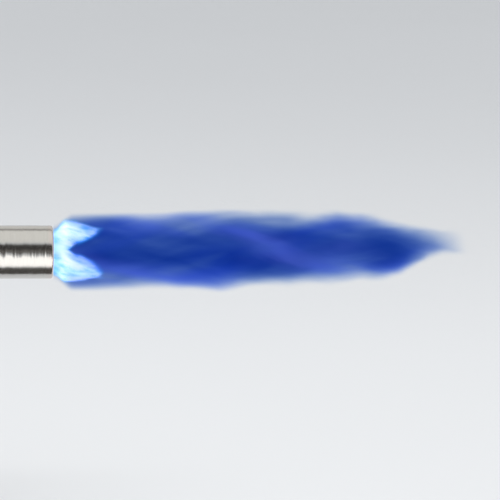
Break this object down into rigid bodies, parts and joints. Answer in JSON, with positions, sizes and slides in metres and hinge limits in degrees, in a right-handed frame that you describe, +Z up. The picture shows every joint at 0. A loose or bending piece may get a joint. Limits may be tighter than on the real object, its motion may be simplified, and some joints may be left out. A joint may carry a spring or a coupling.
{
  "type": "lampwork torch",
  "caption": "Bench glassworking torch: needle valve, gas jet, air collar and swirl burner tube in a cradle that tilts on a weighted yoke stand and locks with a thumb knob.",
  "frame": {"origin": "on the bench, at the centre of the four bench screw holes, under the tilt pivot", "axes": "+X the way the flame leaves, with the torch level; +Z up; +Y to the user's left"},
  "size_m": [0.218, 0.086, 0.1583],
  "materials": {
    "brushed_stainless": "brushed round the tube",
    "plain_stainless": "drawn, semi-bright",
    "brass": "machined, slightly dulled",
    "sintered_bronze": "porous, matte",
    "nickel_plate": "satin nickel plate",
    "copper": "soft annealed copper",
    "aluminium": "bead-blasted and clear anodised",
    "knob_red": "moulded phenolic",
    "knob_black": "fine-grained moulded plastic",
    "powder_coat": "fine-textured dark grey powder coat",
    "zinc_plate": "bright zinc plate",
    "black_oxide": "oiled black oxide",
    "spring_steel": "drawn wire",
    "ptfe": "turned white PTFE",
    "fibre": "pressed vulcanised fibre",
    "cork_rubber": "cork and rubber composition"
  },
  "bodies": {
    "stand": {"base_pad": "cork_rubber", "base_plate": "powder_coat", "yoke": "powder_coat", "yoke_screws": "black_oxide", "pivot_bolt": "zinc_plate", "bolt_washer": "zinc_plate"},
    "torch": {"burner_tube": "brushed_stainless", "tube_screws": "plain_stainless", "swirler": "plain_stainless", "diffuser": "brass", "mixer_body": "brass", "collar_stop_pin": "plain_stainless", "collar_spring_ring": "spring_steel", "jet_holder": "brass", "holder_gasket": "copper", "jet": "brass", "jet_gasket": "copper", "stem_tube": "plain_stainless", "valve_body": "brass", "bonnet": "brass", "bonnet_gasket": "copper", "spindle_packing": "ptfe", "gland_ring": "brass", "packing_nut": "brass", "inlet_nipple": "brass", "inlet_gasket": "copper", "inlet_filter": "sintered_bronze", "cradle_cap": "aluminium", "cradle_saddle": "aluminium", "cradle_screws": "black_oxide", "liner_upper": "fibre", "liner_lower": "fibre", "friction_washer_left": "fibre", "friction_washer_right": "fibre"},
    "air_collar": {"air_collar": "nickel_plate"},
    "needle": {"needle": "plain_stainless"},
    "valve_knob": {"spindle": "plain_stainless", "valve_knob": "knob_red", "knob_screw": "zinc_plate", "knob_cap": "knob_black"},
    "pressure_washer": {"pressure_washer": "zinc_plate"},
    "thumb_knob": {"thumb_insert": "brass", "thumb_knob": "knob_black"}
  },
  "joints": [
    {"name": "tilt", "type": "hinge", "parent": "stand", "child": "torch", "pos_m": [0, 0, 0.08], "axis": [0, -1, 0], "range_deg": [-15, 45]},
    {"name": "air_collar_turn", "type": "hinge", "parent": "torch", "child": "air_collar", "pos_m": [0.046, 0, 0.108], "axis": [1, 0, 0], "range_deg": [0, 45]},
    {"name": "needle_travel", "type": "slide", "parent": "torch", "child": "needle", "axis": [-0.5, 0, 0.866], "range_m": [-0.00125, 0]},
    {"name": "valve_knob_turn", "type": "hinge", "parent": "needle", "child": "valve_knob", "pos_m": [-0.04, 0, 0.108], "axis": [-0.5, 0, 0.866], "range_deg": [-450.2, 0]},
    {"name": "clamp_washer_travel", "type": "slide", "parent": "stand", "child": "pressure_washer", "axis": [0, -1, 0], "range_m": [0, 0.0009375]},
    {"name": "thumb_knob_turn", "type": "hinge", "parent": "pressure_washer", "child": "thumb_knob", "pos_m": [0, -0.02, 0.08], "axis": [0, -1, 0], "range_deg": [0, 270.2]}
  ],
  "couplings": [
    {"joint": "valve_knob_turn", "follows": "needle_travel", "rad_per_m": 6283.2},
    {"joint": "thumb_knob_turn", "follows": "clamp_washer_travel", "rad_per_m": 5026.5}
  ]
}
